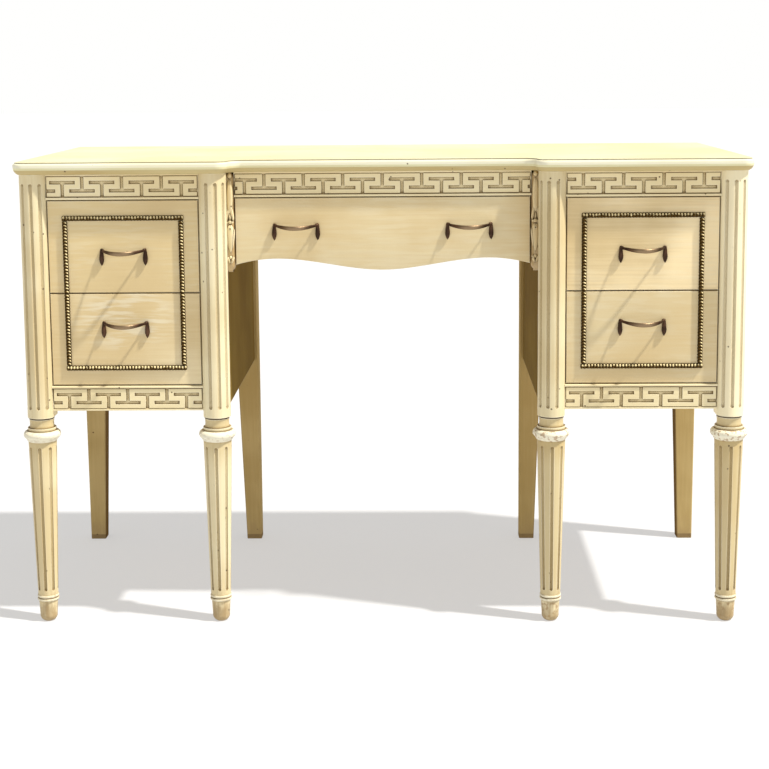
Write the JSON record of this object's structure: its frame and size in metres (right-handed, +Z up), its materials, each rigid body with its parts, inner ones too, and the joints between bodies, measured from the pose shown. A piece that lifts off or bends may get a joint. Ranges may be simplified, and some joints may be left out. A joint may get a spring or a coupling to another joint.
{
  "type": "dressing table",
  "caption": "Painted kneehole dressing table: fluted front legs, key-pattern friezes, rope-framed pedestal drawers, a recessed middle drawer and bronze bow pulls.",
  "frame": {"origin": "on the floor under the centre of the bounding box", "axes": "+X to the right seen from the front, +Y to the back, +Z up; the drawers open along -Y"},
  "size_m": [1.181, 0.5182, 0.762],
  "materials": {
    "painted_wood": "cream paint, brown glaze in the hollows",
    "bare_wood": "unfinished hardwood",
    "rope_wood": "cream paint under heavy brown glaze",
    "bronze": "dark bronze patina",
    "screw_steel": "dull"
  },
  "bodies": {
    "case": {"top_board": "painted_wood", "centre_back_rail": "painted_wood", "frieze_centre": "painted_wood", "frieze_right": "painted_wood", "frieze_left": "painted_wood", "carved_drops": "painted_wood", "pedestal_runners": "bare_wood", "centre_runners": "bare_wood", "glue_blocks": "bare_wood", "bottom_boards": "painted_wood", "front_leg_inner_right": "painted_wood", "front_leg_inner_left": "painted_wood", "front_leg_outer_right": "painted_wood", "front_leg_outer_left": "painted_wood", "rear_leg_inner_right": "painted_wood", "rear_leg_inner_left": "painted_wood", "rear_leg_outer_right": "painted_wood", "rear_leg_outer_left": "painted_wood", "side_panel_inner_right": "painted_wood", "side_panel_inner_left": "painted_wood", "side_panel_outer_right": "painted_wood", "side_panel_outer_left": "painted_wood", "back_panel_right": "painted_wood", "back_panel_left": "painted_wood", "lower_frieze_right": "painted_wood", "lower_frieze_left": "painted_wood"},
    "upper_left_drawer": {"upper_left_drawer_front": "painted_wood", "upper_left_drawer_sides": "bare_wood", "upper_left_drawer_back": "bare_wood", "upper_left_drawer_bottom": "bare_wood", "upper_left_drawer_rope_moulding": "rope_wood", "upper_left_drawer_pull": "bronze", "upper_left_drawer_pull_screws": "screw_steel"},
    "upper_right_drawer": {"upper_right_drawer_front": "painted_wood", "upper_right_drawer_sides": "bare_wood", "upper_right_drawer_back": "bare_wood", "upper_right_drawer_bottom": "bare_wood", "upper_right_drawer_rope_moulding": "rope_wood", "upper_right_drawer_pull": "bronze", "upper_right_drawer_pull_screws": "screw_steel"},
    "lower_left_drawer": {"lower_left_drawer_front": "painted_wood", "lower_left_drawer_sides": "bare_wood", "lower_left_drawer_back": "bare_wood", "lower_left_drawer_bottom": "bare_wood", "lower_left_drawer_rope_moulding": "rope_wood", "lower_left_drawer_pull": "bronze", "lower_left_drawer_pull_screws": "screw_steel"},
    "lower_right_drawer": {"lower_right_drawer_front": "painted_wood", "lower_right_drawer_sides": "bare_wood", "lower_right_drawer_back": "bare_wood", "lower_right_drawer_bottom": "bare_wood", "lower_right_drawer_rope_moulding": "rope_wood", "lower_right_drawer_pull": "bronze", "lower_right_drawer_pull_screws": "screw_steel"},
    "centre_drawer": {"centre_drawer_front": "painted_wood", "centre_drawer_sides": "bare_wood", "centre_drawer_back": "bare_wood", "centre_drawer_bottom": "bare_wood", "centre_drawer_pulls": "bronze", "centre_drawer_pull_screws": "screw_steel"}
  },
  "joints": [
    {"name": "upper_left_drawer_slide", "type": "slide", "parent": "case", "child": "upper_left_drawer", "axis": [0, -1, 0], "range_m": [0, 0.3]},
    {"name": "upper_right_drawer_slide", "type": "slide", "parent": "case", "child": "upper_right_drawer", "axis": [0, -1, 0], "range_m": [0, 0.3]},
    {"name": "lower_left_drawer_slide", "type": "slide", "parent": "case", "child": "lower_left_drawer", "axis": [0, -1, 0], "range_m": [0, 0.3]},
    {"name": "lower_right_drawer_slide", "type": "slide", "parent": "case", "child": "lower_right_drawer", "axis": [0, -1, 0], "range_m": [0, 0.3]},
    {"name": "centre_drawer_slide", "type": "slide", "parent": "case", "child": "centre_drawer", "axis": [0, -1, 0], "range_m": [0, 0.28]}
  ]
}
